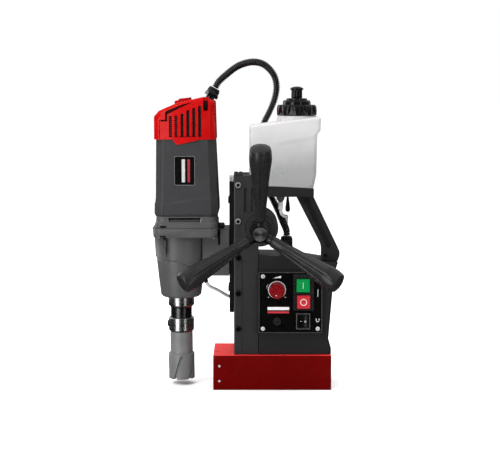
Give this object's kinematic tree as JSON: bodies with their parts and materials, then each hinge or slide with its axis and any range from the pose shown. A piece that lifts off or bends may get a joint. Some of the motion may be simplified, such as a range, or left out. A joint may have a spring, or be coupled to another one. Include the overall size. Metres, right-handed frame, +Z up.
{
  "type": "magnetic drill press",
  "caption": "Magnetic-base drill press: red magnet, black column with slide and three-arm feed, tall motor with red cap and annular cutter, switch panel, coolant bottle.",
  "frame": {"origin": "centre of the magnet's bottom face", "axes": "+Z up along the spindle, -Y towards the operator's side with the panel and the feed handles, -X towards the spindle"},
  "size_m": [0.2608, 0.2099, 0.4606],
  "materials": {
    "magnet_red_paint": "gloss",
    "cap_red_plastic": "gloss",
    "black_paint": "satin",
    "charcoal_plastic": "fine texture",
    "grey_paint": "satin",
    "handle_plastic": "satin",
    "black_plastic": "satin",
    "gloss_black": "gloss",
    "rubber": "matt, ribbed",
    "bright_steel": "ground",
    "satin_steel": "satin",
    "dark_steel": "blackened",
    "bronze": "machined",
    "copper": "enamelled wire",
    "resin": "cast",
    "board_green": "lacquered",
    "milky_plastic": "translucent",
    "clear_plastic": "clear",
    "green_plastic": "gloss",
    "button_red": "gloss"
  },
  "bodies": {
    "stand": {"magnet_body": "magnet_red_paint", "magnet_coil": "copper", "magnet_resin": "resin", "column": "black_paint", "gib_strip": "bronze", "gib_screw_1": "bright_steel", "gib_screw_2": "bright_steel", "gib_screw_3": "bright_steel", "gib_screw_4": "bright_steel", "gib_screw_5": "bright_steel", "feed_bush_front": "dark_steel", "feed_bush_rear": "dark_steel", "housing": "charcoal_plastic", "housing_rear_cover": "charcoal_plastic", "mains_gland": "black_plastic", "control_panel": "gloss_black", "circuit_board": "board_green", "start_stop_switch": "black_plastic", "rocker_bezel": "black_plastic", "speed_potentiometer": "satin_steel", "fuse_holder": "gloss_black", "carry_arm": "black_paint", "bottle_tray": "black_paint", "bottle": "milky_plastic", "tap_body": "clear_plastic", "coolant_tube": "clear_plastic", "conduit": "rubber", "conduit_gland_frame": "black_plastic"},
    "carriage": {"ram_slide": "black_paint", "ram_stop": "bright_steel", "rack": "satin_steel", "motor_bracket": "grey_paint", "gear_case": "grey_paint", "gear_case_cover": "grey_paint", "spindle_bearing": "bright_steel", "motor_housing": "charcoal_plastic", "stator": "dark_steel", "motor_cap": "cap_red_plastic", "conduit_gland_motor": "black_plastic", "coolant_inlet": "bronze"},
    "feed_wheel": {"feed_shaft": "satin_steel", "feed_hub": "dark_steel", "feed_handle_1": "handle_plastic", "feed_handle_2": "handle_plastic", "feed_handle_3": "handle_plastic"},
    "rotor": {"armature": "copper", "cooling_fan": "black_plastic"},
    "intermediate_shaft": {"layshaft": "satin_steel"},
    "spindle_group": {"spindle": "bright_steel", "chuck": "bright_steel", "cutter": "satin_steel", "output_gear": "satin_steel"},
    "ejector": {"pilot_pin": "bright_steel"},
    "start": {"start_button": "green_plastic"},
    "stop": {"stop_button": "button_red"},
    "magnet_switch": {"magnet_rocker": "gloss_black"},
    "speed_dial": {"speed_knob": "cap_red_plastic"},
    "coolant_tap": {"tap_lever": "black_plastic"},
    "filler_cap": {"bottle_cap": "gloss_black"},
    "filler_nozzle": {"bottle_nozzle": "gloss_black"}
  },
  "joints": [
    {"name": "head_travel", "type": "slide", "parent": "stand", "child": "carriage", "axis": [0, 0, 1], "range_m": [-0.055, 0.085], "deforming": ["conduit", "coolant_tube"]},
    {"name": "feed_turn", "type": "hinge", "parent": "stand", "child": "feed_wheel", "pos_m": [-0.0175, 0, 0.2273], "axis": [0, 1, 0], "range_deg": [-176, 272]},
    {"name": "armature_spin", "type": "hinge", "parent": "carriage", "child": "rotor", "pos_m": [-0.121, 0, 0.3], "axis": [0, 0, 1], "continuous": true},
    {"name": "layshaft_spin", "type": "hinge", "parent": "carriage", "child": "intermediate_shaft", "pos_m": [-0.099, 0, 0.21], "axis": [0, 0, 1], "continuous": true},
    {"name": "spindle_spin", "type": "hinge", "parent": "carriage", "child": "spindle_group", "pos_m": [-0.1285, 0, 0.12], "axis": [0, 0, 1], "continuous": true},
    {"name": "pilot_pin_travel", "type": "slide", "parent": "spindle_group", "child": "ejector", "axis": [0, 0, 1], "range_m": [0, 0.005], "stiffness_N_per_m": 300, "springref_m": -0.005},
    {"name": "start_press", "type": "slide", "parent": "stand", "child": "start", "axis": [0, 1, 0], "range_m": [0, 0.0025], "stiffness_N_per_m": 400, "springref_m": -0.001},
    {"name": "stop_press", "type": "slide", "parent": "stand", "child": "stop", "axis": [0, 1, 0], "range_m": [0, 0.0025], "stiffness_N_per_m": 400, "springref_m": -0.001},
    {"name": "magnet_switch_rock", "type": "hinge", "parent": "stand", "child": "magnet_switch", "pos_m": [0.0429, -0.034, 0.0973], "axis": [0, 0, 1], "range_deg": [0, 16]},
    {"name": "speed_turn", "type": "hinge", "parent": "stand", "child": "speed_dial", "pos_m": [0.0064, -0.045, 0.1417], "axis": [0, 1, 0], "range_deg": [0, 270]},
    {"name": "tap_turn", "type": "hinge", "parent": "stand", "child": "coolant_tap", "pos_m": [0.0183, -0.015, 0.2645], "axis": [1, 0, 0], "range_deg": [0, 90]},
    {"name": "cap_lift", "type": "slide", "parent": "stand", "child": "filler_cap", "axis": [0, 0, 1], "range_m": [0, 0.03]},
    {"name": "nozzle_pull", "type": "slide", "parent": "filler_cap", "child": "filler_nozzle", "axis": [0, 0, 1], "range_m": [0, 0.004]}
  ],
  "couplings": [
    {"joint": "feed_turn", "follows": "head_travel", "rad_per_m": 55.556},
    {"joint": "layshaft_spin", "follows": "armature_spin", "ratio": -0.29412},
    {"joint": "spindle_spin", "follows": "armature_spin", "ratio": 0.08312}
  ]
}
